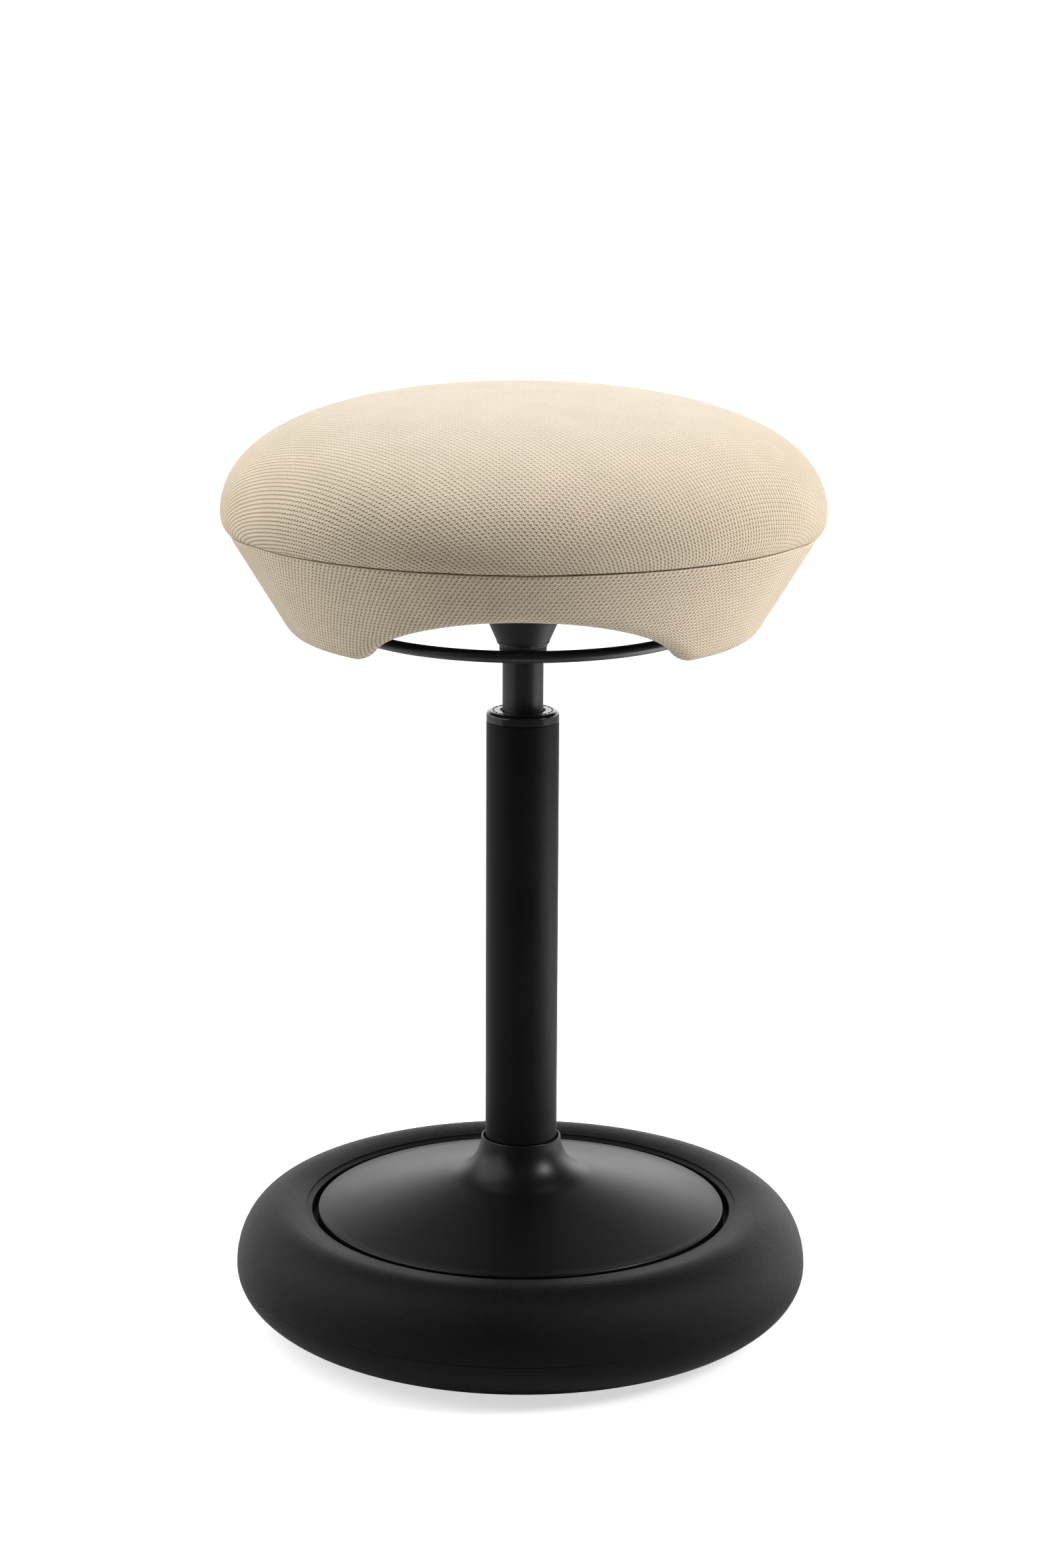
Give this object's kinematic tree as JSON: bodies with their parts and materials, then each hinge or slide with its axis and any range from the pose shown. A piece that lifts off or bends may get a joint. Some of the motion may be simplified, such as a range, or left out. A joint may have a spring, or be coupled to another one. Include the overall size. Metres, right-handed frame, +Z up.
{
  "type": "sit-stand stool",
  "caption": "Round padded stool with a crowned knit seat over a tapered skirt, a ring lever, a gas lift column and a thick convex foot ring under a trumpet cover.",
  "frame": {"origin": "centre of the foot ring's sole, on the floor", "axes": "+Z up along the column, -Y towards the front, where the skirt's arch faces the viewer"},
  "size_m": [0.4086, 0.4086, 0.6555],
  "materials": {
    "knit": "matte",
    "foam": "matte",
    "plywood": "matte",
    "black_enamel": "satin",
    "column_black": "satin",
    "cover_black": "satin",
    "foot_rubber": "matte",
    "bush_plastic": "gloss",
    "panel_plastic": "matte",
    "plain_steel": "satin",
    "zinc_screw": "satin",
    "seal_rubber": "matte",
    "cage_plastic": "satin",
    "pin_red": "satin"
  },
  "bodies": {
    "base": {"foot_ring": "foot_rubber", "base_plate": "plain_steel", "base_screws": "zinc_screw", "column_socket": "plain_steel", "base_cover": "cover_black", "column_tube": "column_black", "tube_floor": "plain_steel", "guide_bush": "bush_plastic", "lower_race": "plain_steel"},
    "rod": {"piston_rod": "plain_steel", "piston": "plain_steel", "piston_seal": "seal_rubber", "rod_clip": "plain_steel", "upper_race": "plain_steel", "bearing_balls": "plain_steel", "ball_cage": "cage_plastic", "buffer": "seal_rubber"},
    "seat": {"gas_cylinder": "column_black", "rod_guide": "plain_steel", "rod_seal": "seal_rubber", "valve_body": "plain_steel", "hub_sleeve": "black_enamel", "hub_cone": "black_enamel", "weld_bead": "black_enamel", "fulcrum_bracket": "plain_steel", "fulcrum_pin": "plain_steel", "seat_plate": "plain_steel", "seat_bolts": "zinc_screw", "tee_nuts": "zinc_screw", "seat_board": "plywood", "under_panel": "panel_plastic", "panel_screws": "zinc_screw", "skirt_foam": "foam", "skirt_cover": "knit", "cushion_foam": "foam", "cushion_cover": "knit"},
    "ring": {"lever_ring": "black_enamel", "lever_spokes": "black_enamel", "release_plate": "black_enamel"},
    "pin": {"valve_pin": "pin_red"}
  },
  "joints": [
    {"name": "seat_swivel", "type": "hinge", "parent": "base", "child": "rod", "pos_m": [0, 0, 0.044], "axis": [0, 0, 1], "continuous": true},
    {"name": "seat_height", "type": "slide", "parent": "rod", "child": "seat", "axis": [0, 0, 1], "range_m": [0, 0.26]},
    {"name": "ring_lift", "type": "hinge", "parent": "seat", "child": "ring", "pos_m": [0, -0.02, 0.522], "axis": [-1, 0, 0], "range_deg": [0, 6], "stiffness_Nm_per_rad": 6, "springref_deg": -14.32},
    {"name": "valve_press", "type": "slide", "parent": "seat", "child": "pin", "axis": [0, 0, -1], "range_m": [0, 0.0031]}
  ],
  "couplings": [
    {"joint": "valve_press", "follows": "ring_lift", "m_per_rad": 0.026}
  ]
}
